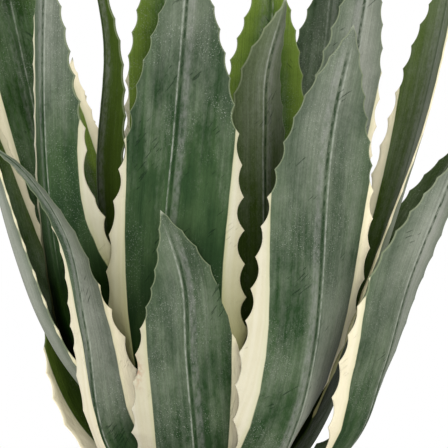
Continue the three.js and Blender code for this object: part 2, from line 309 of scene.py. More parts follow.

# %% [markdown]
# ## How much bloom lies on each leaf, and the light and shade painted on it
# A grey wax, the bloom, covers the green, more on some leaves and mostly in their upper part. It rubs
# off where leaves touched in the bud. The share of it runs from the root to the tip too, on each half.
# Then come three shares for the whole leaf: how olive its skin is, how much painted glow yellows its
# inner face as if light came through it, and how much painted shade darkens it near its root, where
# others shade it.

# %% Bloom, skin and painted light of each leaf
# name: bloom on the left half, bloom on the right half, olive, painted glow, painted shade at the root
USUAL_SKIN_AND_PAINTED_LIGHT = ((-0.2, 0.1, 0.3), (-0.2, 0.1, 0.3), 0.1, 0.3, 0.3)
SKIN_AND_PAINTED_LIGHT = {
    "leaf_01": ((0.1, 0.18, 0.38), (-0.1, 0.08, 0.28), 0.0, 0.2, 0.0),
    "leaf_02": ((0.1, 0.1, 0.2), (-0.8, 0.25, 1.0, 0.3), 0.0, 0.2, 0.0),
    "leaf_03": ((0.2, 0.1, 1.3), (0.5, 0.5, 1.5), 0.0, 0.2, 0.0),
    # Painted light: on the right half of leaf_04 the bloom near the root is raised to lighten a part in
    # shade.
    "leaf_04": ((0.27, 0.1, 0.9), (1.1, 0.75, 0.2, 1.0), 0.0, 0.2, 0.0),
    "leaf_05": ((-0.15, -0.11, 0.55), (-0.15, -0.15, -0.15, 0.18, 0.6), 0.0, 0.2, 1.0),
    "leaf_06": ((-0.1, -0.25, 0.7), (-0.1, -0.45, 1.7), 0.0, 0.2, 1.8),
    "leaf_07": ((0.0, 0.1, 0.1), (0.8, 0.9, 0.9), 0.2, 0.4, 0.3),
    "leaf_08": ((-0.3, -0.2, 0.0), (-0.3, -0.2, 0.0), 0.5, 0.9, 0.0),
    "leaf_09": ((0.0, 0.04, 0.06), (0.0, 0.04, 0.06), 0.0, 0.1, 0.5),
    "leaf_10": ((-0.5,), (-0.5,), 0.0, 1.8, 0.0),
    "leaf_11": ((-0.1, -0.05, 0.25), (-0.1, -0.05, 0.0), 0.9, 0.2, 0.5),
    "leaf_12": ((-0.1, -0.1, 0.0), (-0.1, -0.1, 0.0), 0.1, 0.9, 0.5),
    "leaf_13": ((-0.1, -0.1, 0.0), (-0.1, -0.1, 0.0), 0.1, 1.0, 0.5),
    "leaf_14": ((0.1, 0.2, 0.35), (0.1, 0.2, 0.35), 0.0, 0.0, 0.3),
    "leaf_15": ((-0.5, 0.0, 0.65), (-0.5, 0.0, 0.75), 0.8, 0.8, 0.0),
    "leaf_16": ((0.0, 0.5, 0.7), (0.0, 0.7, 1.1), 0.0, 0.1, 0.0),
    "leaf_17": ((-0.5, -0.2, 0.6, 0.7, 0.4), (-0.5, 0.0, 0.3), 0.75, 0.6, 0.9),
    "leaf_18": ((-0.7, 0.0, 0.6), (-0.6, 0.0, 0.2), 0.3, 0.1, 1.4),
}

# %% Marks of single leaves
# A rust-coloured stain on one cream margin: leaf, mm from the midrib, mm from the tip, its radii.
STAIN = ("leaf_01", -36, 106, 3.5, 9)
# A tooth that never grew leaves a long hollow in one right margin: leaf, mm from the tip, depth, reach.
HOLLOW = ("leaf_06", 154, 7.5, 20)
# Painted light: how much the cream is lightened on the left and on the right half of a leaf, where it
# lies in shade.
CREAM_PAINTED_LIGHT = {
    "leaf_01": (0.0, 0.8), "leaf_02": (0.3, 0.9), "leaf_03": (0.5, 0.0), "leaf_04": (0.1, 1.0),
    "leaf_05": (0.15, 0.0), "leaf_07": (0.6, 0.6), "leaf_08": (1.0, 1.0), "leaf_09": (0.6, 0.6),
    "leaf_10": (1.0, 1.0), "leaf_16": (0.6, 0.6), "leaf_17": (1.0, 1.0), "leaf_18": (0.6, 0.6),
}

# %% [markdown]
# ## Rules of a blade
# A leaf is narrow at its neck, widest a third of the way up, and drawn in to its tip. Its margin has
# teeth that stand closer together towards the tip, with a hollow between each two.

# %% Sizes of a blade
STEM_RADIUS = 27
ROOT_DEPTH = 12
MARGIN_THICKNESS = 1.1
TIP_THICKNESS = 1.8
BASE_THICKNESS = 8
BELLY = 1.3
TOOTH_FIRST = 11
TOOTH_GROWTH = 0.06
TOOTH_DEPTH_TIP = 0.9
TOOTH_DEPTH_GROWTH = 0.016
TOOTH_DEPTH_MOST = 3.8
TOOTHED_SHARE = 0.84
TEETH_FADE_ROOT = 20
TEETH_FADE_TIP = 8
BITE_RANGE = (0.75, 1.25)
print("tooth spacing at the tip:", TOOTH_FIRST, "mm")


# %% A value along the leaf
def through(values, u):
    """A smooth way through values that are spaced evenly from the root (u 0) to the tip (u 1)."""
    steps = len(values) - 1
    total = 0 * u
    for i, value in enumerate(values):
        share = value + 0 * u
        for j in range(steps + 1):
            if j != i:
                share = share * (steps * u - j) / (i - j)
        total = total + share
    return total


# %% Teeth and outline
def teeth_to(s):
    """How many teeth there are between the tip and a distance from it."""
    return np.log(1 + TOOTH_GROWTH * s / TOOTH_FIRST) / TOOTH_GROWTH


def reach_of(teeth):
    """How far from the tip a number of teeth reaches."""
    return TOOTH_FIRST / TOOTH_GROWTH * (np.exp(TOOTH_GROWTH * teeth) - 1)


def outline(u, taper, neck):
    """Share of the full width, from the neck to the widest part and in to the tip."""
    rise = np.minimum(u / neck[1], 1)
    return (neck[0] + (1 - neck[0]) * rise * rise * (3 - 2 * rise)) * (1 - u**taper)


def margin(half, s, length, shift, draw):
    """Reach of one margin: the half width, less a hollow between each two teeth."""
    count = teeth_to(s) + shift
    tooth = np.floor(count).astype(int)
    along = count - tooth
    depth = np.minimum(TOOTH_DEPTH_TIP + TOOTH_DEPTH_GROWTH * s, TOOTH_DEPTH_MOST)
    depth = depth * np.clip((TOOTHED_SHARE * length - s) / TEETH_FADE_ROOT, 0, 1)
    depth = depth * np.clip(s / TEETH_FADE_TIP, 0, 1)
    bite = np.array([draw.uniform(*BITE_RANGE) for _ in range(tooth.max() + 1)])
    return half - depth * 4 * along * (1 - along) * bite[tooth]


# %% [markdown]
# ## The way of a midrib
# A Catmull-Rom spline runs through all its points, so the numbers above can be read off the plant.
# Its points are not evenly spaced, so it is measured out first and then walked by length.

# %% Midrib
SPLINE_STEPS = 400


def midrib(root, line):
    """Points of the spline, and the length up to each of them."""
    azimuth, height = math.radians(root[0]), root[1]
    inward = STEM_RADIUS - ROOT_DEPTH
    points = np.array([(inward * math.sin(azimuth), -inward * math.cos(azimuth), height), *line], float)
    padded = np.vstack([2 * points[0] - points[1], points, 2 * points[-1] - points[-2]])
    t = np.linspace(0, 1, SPLINE_STEPS, endpoint=False)[:, None]
    way = []
    for i in range(len(points) - 1):
        before, a, b, after = padded[i : i + 4]
        way.append((2 * t**3 - 3 * t**2 + 1) * a + (3 * t**2 - 2 * t**3) * b)
        way[-1] += (t**3 - 2 * t**2 + t) * (b - before) / 2 + (t**3 - t**2) * (after - a) / 2
    way = np.vstack([*way, points[-1:]])
    lengths = np.concatenate([[0], np.cumsum(np.linalg.norm(np.diff(way, axis=0), axis=1))])
    return way, lengths


def run(way, lengths, face, s):
    """Centre, sideways and outward directions at distances s from the tip."""
    length = lengths[-1]

    def at(distance):
        return np.stack([np.interp(length - distance, lengths, way[:, i]) for i in range(3)], axis=1)

    along = at(s - 0.5) - at(s + 0.5)
    along /= np.linalg.norm(along, axis=1)[:, None]
    look = np.radians(through(face, 1 - s / length))
    out = np.stack([np.sin(look), -np.cos(look), 0 * look], axis=1)
    out -= np.sum(out * along, axis=1)[:, None] * along
    out /= np.linalg.norm(out, axis=1)[:, None]
    return at(s), np.cross(along, out), out

# %% [markdown]
# ## One leaf as a rolled-up grid
# A leaf could be a thin sheet with a Solidify modifier, but then it is as thick at its edge as in its
# middle. Instead a flat grid is rolled into a flat sleeve: its columns run round the section, over the
# outer face and back over the inner one, and its rows run from the root to the tip. Rows are placed so
# that every tooth gets one. Five columns on each side of the midrib keep their distance from it, so
# that the rib, a groove between two low ridges, has the same width all the way.

# %% Rows and columns
RIB_COLUMNS = 5
FLAT_COLUMNS = 9
RIB_REACH = 5.0
RIB_SHARE_MOST = 0.45
TOOTH_ROWS = 5
ROOT_ROWS = 22
TIP_ROWS = 9
TIP_CROWDING = 1.3


def stations(length):
    """Distances from the tip, from the root up: rows for each half tooth, closer at the tip."""
    half_teeth = int(2 * teeth_to(length * TOOTHED_SHARE))
    plain = np.linspace(length, reach_of(half_teeth / 2), ROOT_ROWS, endpoint=False)
    toothed = reach_of(np.arange(half_teeth * TOOTH_ROWS, TOOTH_ROWS, -1) / (2 * TOOTH_ROWS))
    end = reach_of(0.5) * np.linspace(1, 0, TIP_ROWS) ** TIP_CROWDING
    return np.concatenate([plain, toothed, end])


def round_the_section():
    """Column number from the midrib, and which face it is on: 1 outer, -1 inner, 0 the very edge."""
    most = RIB_COLUMNS + FLAT_COLUMNS
    outer = [(k, 1) for k in range(-most, most + 1)]
    inner = [(-k, -1) for k, _ in outer]
    return np.array([*outer, (most, 0), *inner, (-most, 0), outer[0]], float).T


def shares(column, reach):
    """Where each column lies, as a share of the way from the midrib to the margin."""
    rib = np.minimum(RIB_REACH / np.maximum(reach, 0.01), RIB_SHARE_MOST)
    past = (np.abs(column) - RIB_COLUMNS) / FLAT_COLUMNS
    share = np.where(past < 0, rib * np.abs(column) / RIB_COLUMNS, rib + (1 - rib) * past)
    return np.sign(column) * share

# %% [markdown]
# ## From numbers to the surface
# The halves bend back from the outer face, a little more towards the margin. The outer face gets the
# rib, slow waves as on any real leaf, and at the very tip the blade hooks a little to one side.

# %% Sizes of the surface
LEAST_HALF = 0.9
TIP_BLUNTNESS = 0.6
SHOULDER = 1.32
EDGE_ROUND = 0.35
RIB_DEPTH = 0.55
RIDGE_HEIGHT = 0.3
RIDGE_PLACE = 2.2
RIB_FADE_HALF = 12
WAVE = 0.7
WAVE_ALONG = 31
WAVE_ACROSS = 21
EDGE_WAVE_ALONG = 17
WAVE_FADE = 30
HOOK = 1.6
HOOK_LENGTH = 14
print("rib:", RIB_DEPTH, "mm deep, waves:", WAVE, "mm high")

# %% Surface of a leaf
def relief(x, s, t, draw):
    """Waves of the whole blade and of its margins, in mm, without the rib."""
    phase = [draw.uniform(0, 2 * math.pi) for _ in range(3)]
    wave = np.sin(s / WAVE_ALONG + phase[0]) * np.sin(x / WAVE_ACROSS + phase[1])
    wave = wave + 0.5 * t**2 * np.sin(s / EDGE_WAVE_ALONG + phase[2])
    return WAVE * wave * np.clip(s / WAVE_FADE, 0, 1)


def leaf_grid(name, number):
    """Places in mm and surface values, each as rows by columns."""
    root, line, face, width, taper, fold, neck = LEAVES[name]
    draw = random.Random(number)
    way, lengths = midrib(root, line)
    s = stations(lengths[-1])[:, None]
    u = 1 - s / lengths[-1]
    centre, side, out = run(way, lengths, face, s[:, 0])
    near_tip = np.clip(s / reach_of(0.5), 0, 1)
    least = LEAST_HALF * near_tip**TIP_BLUNTNESS
    half = np.maximum(width / 2 * outline(u, taper, neck or USUAL_NECK), least)
    left, right = (margin(half, s, lengths[-1], shift, draw) for shift in (0.0, 0.5))
    hollow_leaf, hollow_s, depth, long = HOLLOW
    if name == hollow_leaf:
        right = np.minimum(right, half - depth * (1 - ((s - hollow_s) / long) ** 2))
    column, facing = (row[None, :] for row in round_the_section())
    reach = np.where(column < 0, left, right)
    t = shares(column, reach)
    x = reach * t
    middle = (BASE_THICKNESS + (TIP_THICKNESS - BASE_THICKNESS) * np.sqrt(u)) * np.sqrt(near_tip)
    edge = np.minimum(MARGIN_THICKNESS, middle)
    thick = edge + (middle - edge) * (1 - np.abs(t) ** SHOULDER)
    ridges = np.exp(-((np.abs(x) - RIDGE_PLACE) ** 2))
    rib = (RIDGE_HEIGHT * ridges - RIB_DEPTH * np.exp(-(x**2))) * np.clip(half / RIB_FADE_HALF, 0, 1)
    angle = np.radians(through(fold, u))
    rise = np.abs(x) * np.abs(t) ** (BELLY - 1) * np.sin(angle)
    outward = facing * thick / 2 + np.where(facing > 0, rib, 0) - rise + relief(x, s, t, draw)
    across = x * np.cos(angle) + np.where(facing == 0, np.sign(t) * EDGE_ROUND * near_tip, 0)
    hook = np.clip(1 - s / HOOK_LENGTH, 0, 1) ** 2 * HOOK
    across = across + hook * draw.uniform(-1, 1)
    outward = outward - hook * draw.uniform(-0.2, 1)
    place = centre[:, None] + across[:, :, None] * side[:, None] + outward[:, :, None] * out[:, None]
    return place, surface_values(name, number, x, s, u, reach, facing)

# %% [markdown]
# The material reads its numbers from the mesh: how far a point is inside the green and inside the
# margin, which face it is on, how much bloom lies there, how olive or stained it is, how much painted
# glow and painted shade near the root it gets, and how much painted light lightens its cream. The two
# halves of a leaf blend into each other over the midrib.

# %% Values on the surface
ROOT_SHADE_FROM, ROOT_SHADE_TO = 0.62, 0.25
HALF_BLEND = 12


def surface_values(name, number, x, s, u, reach, facing):
    left_green, right_green = (through(values, u) for values in GREEN.get(name, USUAL_GREEN))
    left_wax, right_wax, olive, painted_glow, deep = SKIN_AND_PAINTED_LIGHT.get(name, USUAL_SKIN_AND_PAINTED_LIGHT)
    left_cream_light, right_cream_light = CREAM_PAINTED_LIGHT.get(name, (0, 0))
    to_right = np.clip(x / HALF_BLEND + 0.5, 0, 1)
    wax = through(left_wax, u) * (1 - to_right) + through(right_wax, u) * to_right
    stained, stain_x, stain_s, wide, long = STAIN
    stain = np.exp(-(((x - stain_x) / wide) ** 2) - ((s - stain_s) / long) ** 2) * (name == stained)
    # Painted shade near the root: its share grows from 0.62 of the way up to full at 0.25 and below.
    low = np.clip((ROOT_SHADE_FROM - u) / (ROOT_SHADE_FROM - ROOT_SHADE_TO), 0, 1)
    values = {
        "blade": (x * MM, s * MM),
        "zone": (np.where(x < 0, left_green, right_green) - np.abs(x), reach - np.abs(x), (1 - facing) / 2),
        "skin_and_glow": (wax, painted_glow, olive),
        "marks": (number, stain, deep * low * low * (3 - 2 * low)),
        # The share of painted light that lightens the cream.
        "cream": (left_cream_light * (1 - to_right) + right_cream_light * to_right, 0, 0),
    }
    flat = np.zeros_like(x)
    return {key: np.stack([part + flat for part in parts], axis=-1) for key, parts in values.items()}

# %% Mesh of a leaf
def rolled_grid(name, place):
    """A closed mesh of a grid of places, with the grid's number of each of its points."""
    rows, columns = place.shape[:2]
    bm = bmesh.new()
    bmesh.ops.create_grid(bm, x_segments=columns - 1, y_segments=rows - 1, size=1)
    number = bm.verts.layers.int.new("grid")
    for vertex in bm.verts:
        column = round((vertex.co.x + 1) / 2 * (columns - 1))
        row = round((vertex.co.y + 1) / 2 * (rows - 1))
        vertex[number] = row * columns + column
        vertex.co = Vector(place[row, column]) * MM
    # The sleeve is closed along its seam and at the tip, and capped at the root.
    bmesh.ops.remove_doubles(bm, verts=bm.verts, dist=1e-7)
    bmesh.ops.holes_fill(bm, edges=[e for e in bm.edges if e.is_boundary], sides=0)
    bmesh.ops.recalc_face_normals(bm, faces=bm.faces)
    mesh = bpy.data.meshes.new(name)
    bm.to_mesh(mesh)
    bm.free()
    grid = np.empty(len(mesh.vertices), int)
    mesh.attributes["grid"].data.foreach_get("value", grid)
    mesh.attributes.remove(mesh.attributes["grid"])
    return mesh, grid


def paint(mesh, grid, values):
    """Hands the surface values to the mesh: the blade's own UV map, and the rest as attributes."""
    corners = np.empty(len(mesh.loops), int)
    mesh.loops.foreach_get("vertex_index", corners)
    for name, value in values.items():
        value = value.reshape(-1, value.shape[-1])[grid].astype(np.float32)
        if name == "blade":
            mesh.uv_layers.new(name=name).data.foreach_set("uv", value[corners].reshape(-1))
        else:
            mesh.attributes.new(name, "FLOAT_VECTOR", "POINT").data.foreach_set("vector", value.reshape(-1))

# %% [markdown]
# ## The leaf's skin
# The skin of an agave leaf is leathery, deep green and smooth, under the grey bloom. The blade's own
# coordinates say how far a point is across from the midrib and down from the tip, so every streak
# follows the leaf however it bends. Each pattern below is noise stretched to the size of a real mark.

# %% Patterns along the blade
skin_material, tree = new_material("waxy_variegated_agave_leaf")
blade = add(tree, "SeparateXYZ", {0: add(tree, "UVMap", uv_map="blade")})
across, down = blade.outputs[:2]
given = []
for name in ("zone", "skin_and_glow", "marks", "cream"):
    read = add(tree, "Attribute", attribute_name=name).outputs["Vector"]
    given += add(tree, "SeparateXYZ", {0: read}).outputs
green_in, margin_in, face, wax_share, painted_glow, olive, number, stain, painted_root_shade, pale = given[:10]
# Each face of each leaf reads another layer of the noise, so that no two of them are alike.
LAYER_STEP = 7.3
layer = add(tree, "Math", {0: number, 1: LAYER_STEP, 2: face}, operation="MULTIPLY_ADD")
spot = add(tree, "CombineXYZ", {0: across, 1: down, 2: layer})

# %% Sizes of the marks
# name: width and length of a mark in mm, detail and roughness of the noise
MARKS = {
    "fibres": (0.9, 60, 2, 0.5),
    "bands": (4.5, 140, 2, 0.5),
    "clouds": (14, 42, 3, 0.5),
    "mottle": (2.2, 4.5, 4, 0.65),
    "grain": (0.75, 1.4, 3, 0.6),
    "specks": (0.55, 0.7, 1, 0.4),
    "dents": (7, 13, 2, 0.5),
    "patches": (26, 32, 1, 0.5),
}
MARK_STEP = 11
marks = {}
for turn, (name, (wide, long, detail, rough)) in enumerate(MARKS.items()):
    scale = (1 / (wide * MM), 1 / (long * MM), 1)
    stretched = add(tree, "Mapping", {"Vector": spot, "Location": (0, 0, MARK_STEP * turn), "Scale": scale})
    noise_sockets = {"Vector": stretched, "Scale": 1.0, "Detail": detail, "Roughness": rough}
    marks[name] = add(tree, "TexNoise", noise_sockets)

# %% Green skin under the bloom
SMOOTH = {"interpolation_type": "SMOOTHSTEP"}
deep = add(tree, "MapRange", {"Value": marks["clouds"], "From Min": 0.35, "From Max": 0.65}, **SMOOTH)
outer = add(tree, "Mix", {"Factor": deep, "A": "#263b22", "B": "#394d30"}, data_type="RGBA")
inner = add(tree, "Mix", {"Factor": deep, "A": "#1e3516", "B": "#304b24"}, data_type="RGBA")
# Painted light: the inner face is yellowed towards its margin, as if light shone through the leaf.
to_edge = {"Value": margin_in, "From Min": 18, "From Max": 1, "To Min": 0.15, "To Max": 1}
painted_glow_mask = add(tree, "MapRange", to_edge, **SMOOTH)
painted_glow_mask = add(tree, "Math", {0: painted_glow_mask, 1: painted_glow}, operation="MULTIPLY")
inner = add(tree, "Mix", {"Factor": painted_glow_mask, "A": inner, "B": "#657b31"}, data_type="RGBA")
green = add(tree, "Mix", {"Factor": face, "A": outer, "B": inner}, data_type="RGBA")
green = add(tree, "Mix", {"Factor": olive, "A": green, "B": "#3c4d17"}, data_type="RGBA")

# %% Bloom
BLOOM_WEIGHTS = {"clouds": 0.6, "bands": 0.4, "mottle": 0.35, "grain": 0.12}
BLOOM_START = 0.71
wax = wax_share
for name, weight in BLOOM_WEIGHTS.items():
    wax = add(tree, "Math", {0: marks[name], 1: weight, 2: wax}, operation="MULTIPLY_ADD")
wax = add(tree, "Math", {0: wax, 1: BLOOM_START}, operation="SUBTRACT", use_clamp=True)
rubbed = {"Value": margin_in, "From Min": 0, "From Max": 15, "To Min": 0.5, "To Max": 1}
wax = add(tree, "Math", {0: wax, 1: add(tree, "MapRange", rubbed, **SMOOTH)}, operation="MULTIPLY")
green = add(tree, "Mix", {"Factor": wax, "A": green, "B": "#898d82"}, data_type="RGBA")

# %% [markdown]
# Long fibres show through the skin as streaks, and pale specks of dust and dried drops lie on it in
# patches. The olive leaves, deep inside the rosette, stay almost free of specks.

# %% Streaks and specks
streaked = {"Factor": 0.36, "A": green, "B": marks["fibres"]}
green = add(tree, "Mix", streaked, data_type="RGBA", blend_type="OVERLAY")
grained = {"Factor": 0.25, "A": green, "B": marks["grain"]}
green = add(tree, "Mix", grained, data_type="RGBA", blend_type="OVERLAY")
dusty = {"Value": marks["specks"], "From Min": 0.64, "From Max": 0.73, "To Max": 0.6}
dusty = add(tree, "MapRange", dusty, **SMOOTH)
where = add(tree, "MapRange", {"Value": marks["patches"], "From Min": 0.42, "From Max": 0.6}, **SMOOTH)
dusty = add(tree, "Math", {0: dusty, 1: where}, operation="MULTIPLY")
bare = add(tree, "Math", {0: 1.0, 1: olive}, operation="SUBTRACT")
dusty = add(tree, "Math", {0: dusty, 1: bare}, operation="MULTIPLY")
green = add(tree, "Mix", {"Factor": dusty, "A": green, "B": "#9aa095"}, data_type="RGBA")

# %% [markdown]
# The bud presses creases into a leaf: short dark strokes, all at a slant to the rib. They are noise that
# is turned first and stretched then, and the slow noise of the patches keeps them to a few places.

# %% Creases
CREASE_SLANT = 0.75
slanted = {"Vector": spot, "Rotation": (0, 0, CREASE_SLANT), "Scale": (1.1 * MM, 10 * MM, 1)}
slanted = add(tree, "Mapping", slanted, vector_type="TEXTURE")
crease = add(tree, "TexNoise", {"Vector": slanted, "Scale": 1.0, "Detail": 1.0})
crease = add(tree, "MapRange", {"Value": crease, "From Min": 0.64, "From Max": 0.7}, **SMOOTH)
few = {"Value": marks["patches"], "From Min": 0.42, "From Max": 0.35, "To Max": 0.6}
crease = add(tree, "Math", {0: crease, 1: add(tree, "MapRange", few, **SMOOTH)}, operation="MULTIPLY")
green = add(tree, "Mix", {"Factor": crease, "A": green, "B": "#18291a"}, data_type="RGBA")

# %% [markdown]
# The midrib gets a dark line of painted shade in its groove and a pale line of painted highlight on
# each side. One of them is sharp and the other soft, which way round changes from leaf to leaf. All
# three fade out where painted shade darkens the root.

# %% Rib
flip = add(tree, "Math", {0: number, 1: math.pi}, operation="MULTIPLY")
flip = add(tree, "Math", {0: flip}, operation="COSINE")
rib_x = add(tree, "Math", {0: across, 1: flip}, operation="MULTIPLY")
rib_x = add(tree, "Math", {0: rib_x, 1: 1 / MM}, operation="MULTIPLY")
fade = add(tree, "MapRange", {"Value": down, "From Min": 4 * MM, "From Max": 30 * MM}, **SMOOTH)
outside = add(tree, "MapRange", {"Value": face, "From Min": 1, "From Max": 0, "To Min": 0.55, "To Max": 1})
fade = add(tree, "Math", {0: fade, 1: outside}, operation="MULTIPLY")
# The painted shade and highlights of the rib are broken here and there by noise.
rib_breaks = add(tree, "MapRange", {"Value": marks["mottle"], "From Min": 0.38, "From Max": 0.58, "To Min": 0.25})
fade = add(tree, "Math", {0: fade, 1: rib_breaks}, operation="MULTIPLY")
# The painted lines of the rib fade where painted shade darkens the root.
lit = add(tree, "Math", {0: 1.0, 1: painted_root_shade}, operation="SUBTRACT", use_clamp=True)
fade = add(tree, "Math", {0: fade, 1: lit}, operation="MULTIPLY")

# %% Lines of the rib
# painted line: place and half width in mm, strength, colour
RIB_SHADE_AND_HIGHLIGHTS = {
    "soft ridge": (-3.6, 3.2, 0.28, "#8c8b89"),
    "groove": (0.0, 1.4, 0.85, "#1a2f17"),
    "sharp ridge": (2.0, 0.8, 0.65, "#989d92"),
}
# Each line paints shade into the groove or a highlight onto a ridge beside it.
for place, wide, strength, colour in RIB_SHADE_AND_HIGHLIGHTS.values():
    off = add(tree, "Math", {0: rib_x, 1: place}, operation="SUBTRACT")
    off = add(tree, "Math", {0: off}, operation="ABSOLUTE")
    line = {"Value": off, "From Min": wide, "From Max": 0.3 * wide, "To Max": strength}
    line = add(tree, "Math", {0: add(tree, "MapRange", line, **SMOOTH), 1: fade}, operation="MULTIPLY")
    green = add(tree, "Mix", {"Factor": line, "A": green, "B": colour}, data_type="RGBA")

# %% [markdown]
# The cream band has no green pigment at all, so it is warm white with faint stripes, and it meets the
# green on a line that wavers by less than a millimetre. The green margin has a hair of pale horn on it,
# which is also a painted highlight along the edge. A leaf dries at its very tip. Cream that lies in shade
# is lightened with painted light, and near the root of a shaded leaf all colours are darkened with painted
# shade.

# %% Cream, margin and tip
stripe = add(tree, "MapRange", {"Value": marks["bands"], "From Min": 0.35, "From Max": 0.65}, **SMOOTH)
cream = add(tree, "Mix", {"Factor": stripe, "A": "#c2beaa", "B": "#b9b49a"}, data_type="RGBA")
# Painted light: cream that lies in shade is lightened towards a bright cream.
cream = add(tree, "Mix", {"Factor": pale, "A": cream, "B": "#f6eccc"}, data_type="RGBA")
beside = {"Value": green_in, "From Min": -4, "From Max": -0.2, "To Max": 0.3}
cream = add(tree, "Mix", {"Factor": add(tree, "MapRange", beside, **SMOOTH), "A": cream, "B": "#a3a977"},
            data_type="RGBA")
rust = add(tree, "MapRange", {"Value": marks["mottle"], "From Min": 0.42, "From Max": 0.62}, **SMOOTH)
rust = add(tree, "Math", {0: rust, 1: stain}, operation="MULTIPLY")
cream = add(tree, "Mix", {"Factor": rust, "A": cream, "B": "#a98b74"}, data_type="RGBA")
waver = add(tree, "Math", {0: marks["bands"], 1: 2.2, 2: green_in}, operation="MULTIPLY_ADD")
is_green = {"Value": waver, "From Min": 0.7, "From Max": 1.5}
is_green = add(tree, "MapRange", is_green, **SMOOTH)
colour = add(tree, "Mix", {"Factor": is_green, "A": cream, "B": green}, data_type="RGBA")
# The pale horn of the green margin, also drawn as a painted highlight along the edge.
horn_and_edge_highlight = {"Value": margin_in, "From Min": 0.7, "From Max": 0.15, "To Max": 0.4}
horn_and_edge_highlight = add(tree, "Math", {0: add(tree, "MapRange", horn_and_edge_highlight, **SMOOTH), 1: is_green}, operation="MULTIPLY")
colour = add(tree, "Mix", {"Factor": horn_and_edge_highlight, "A": colour, "B": "#949d7c"}, data_type="RGBA")
dry = add(tree, "Math", {0: marks["mottle"], 1: 4 * MM, 2: down}, operation="MULTIPLY_ADD")
dry = add(tree, "MapRange", {"Value": dry, "From Min": 6 * MM, "From Max": 3 * MM}, **SMOOTH)
colour = add(tree, "Mix", {"Factor": dry, "A": colour, "B": "#8f9583"}, data_type="RGBA")
# Painted shade: near the root of a shaded leaf, cream and green are multiplied by darker colours.
shaded = add(tree, "Mix", {"Factor": is_green, "A": "#a6a982", "B": "#5d7436"}, data_type="RGBA")
root_shade_mix = {"Factor": painted_root_shade, "A": colour, "B": shaded}
colour = add(tree, "Mix", root_shade_mix, data_type="RGBA", blend_type="MULTIPLY")

# %% [markdown]
# The wax scatters the light, so the leaf is nearly matt: its specular level is far below that of a
# glossy leaf, and it is roughest where the bloom is thick. The fine marks lift the surface by less
# than a millimetre, so they are a bump in the material and not geometry.

# %% Sheen and relief
rough = {"Value": wax, "From Max": 0.7, "To Min": 0.5, "To Max": 0.68}
rough = add(tree, "MapRange", rough)
# mark: how high it stands, in mm
HEIGHTS = {"fibres": 0.08, "grain": 0.1, "mottle": 0.3, "dents": 0.9, "clouds": 0.8}
height = 0.0
for name, weight in HEIGHTS.items():
    height = add(tree, "Math", {0: marks[name], 1: weight, 2: height}, operation="MULTIPLY_ADD")
height = add(tree, "Math", {0: crease, 1: -0.5, 2: height}, operation="MULTIPLY_ADD")
bump = add(tree, "Bump", {"Height": height, "Strength": 1.0, "Distance": MM})
surface = {"Base Color": colour, "Roughness": rough, "Normal": bump, "IOR": 1.42, "Specular IOR Level": 0.03}
add(tree, "OutputMaterial", {"Surface": add(tree, "BsdfPrincipled", surface)})
print("leaf material:", len(tree.nodes), "nodes")

# %% [markdown]
# ## Pieces
# Each finished piece rides on the plant's only body, stands for its CAD node, which it hides, and takes
# the material it is given.

# %% Make a piece
def piece(name, mesh, material, node):
    """A smooth object in the scene that stands for a CAD node."""
    mesh.shade_smooth()
    mesh.materials.append(material)
    made = bpy.data.objects.new(name, mesh)
    bpy.context.scene.collection.objects.link(made)
    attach(made, "root")
    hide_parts(node)
    print(name, len(mesh.polygons), "faces")
    return made

# %% Build all leaves
for leaf_number, name in enumerate(LEAVES, 1):
    place, values = leaf_grid(name, leaf_number)
    mesh, grid = rolled_grid(name + "_blade", place)
    paint(mesh, grid, values)
    piece(name + "_blade", mesh, skin_material, name)

# %% [markdown]
# ## The pot
# A plain clay pot is thrown or pressed round an axis, so it is a profile spun about Z. The wall has a
# thick rim that was rolled out, soft edges, and fine turning lines. The floor has holes for water.

# %% Pot sizes
POT_HEIGHT = 185
POT_FOOT_RADIUS = 76
POT_TOP_RADIUS = 98
POT_WALL = 7
POT_FLOOR = 10
RIM_HEIGHT = 30
RIM_OUT = 6
CHAMFER = 3
SOFT_EDGE = 1.4
DRAIN_RADIUS = 6
DRAIN_RING = 42
DRAIN_COUNT = 4
SPIN_STEPS = 128
SHARP_ANGLE = 0.3
print("pot:", POT_HEIGHT, "mm high,", 2 * POT_TOP_RADIUS, "mm wide under the rim")


# %% Walls and spun forms
def inside_radius(z):
    """Radius of the inner wall at a height, both in mm."""
    return POT_FOOT_RADIUS + (POT_TOP_RADIUS - POT_FOOT_RADIUS) * z / POT_HEIGHT - POT_WALL


def outside_radius(z):
    """Radius of the outer wall at a height, both in mm."""
    return inside_radius(z) + POT_WALL


def spun(profile, steps=SPIN_STEPS):
    """A bmesh of a profile of (radius, height) points in mm, turned about Z and closed."""
    bm = bmesh.new()
    points = [bm.verts.new((r * MM, 0, z * MM)) for r, z in profile]
    edges = [bm.edges.new(pair) for pair in zip(points, points[1:])]
    turn = {"cent": (0, 0, 0), "axis": (0, 0, 1), "angle": 2 * math.pi, "steps": steps, "use_merge": True}
    bmesh.ops.spin(bm, geom=points + edges, **turn)
    bmesh.ops.remove_doubles(bm, verts=bm.verts, dist=1e-6)
    bmesh.ops.recalc_face_normals(bm, faces=bm.faces)
    return bm


def mesh_of(name, bm):
    """A mesh of a bmesh, which is freed."""
    mesh = bpy.data.meshes.new(name)
    bm.to_mesh(mesh)
    bm.free()
    return mesh

# %% [markdown]
# Terracotta is a dull orange clay, fired without a glaze. It has patches from the kiln, fine grit, the
# lines of the tool that turned it, and pale salts that dry out of it near the foot.

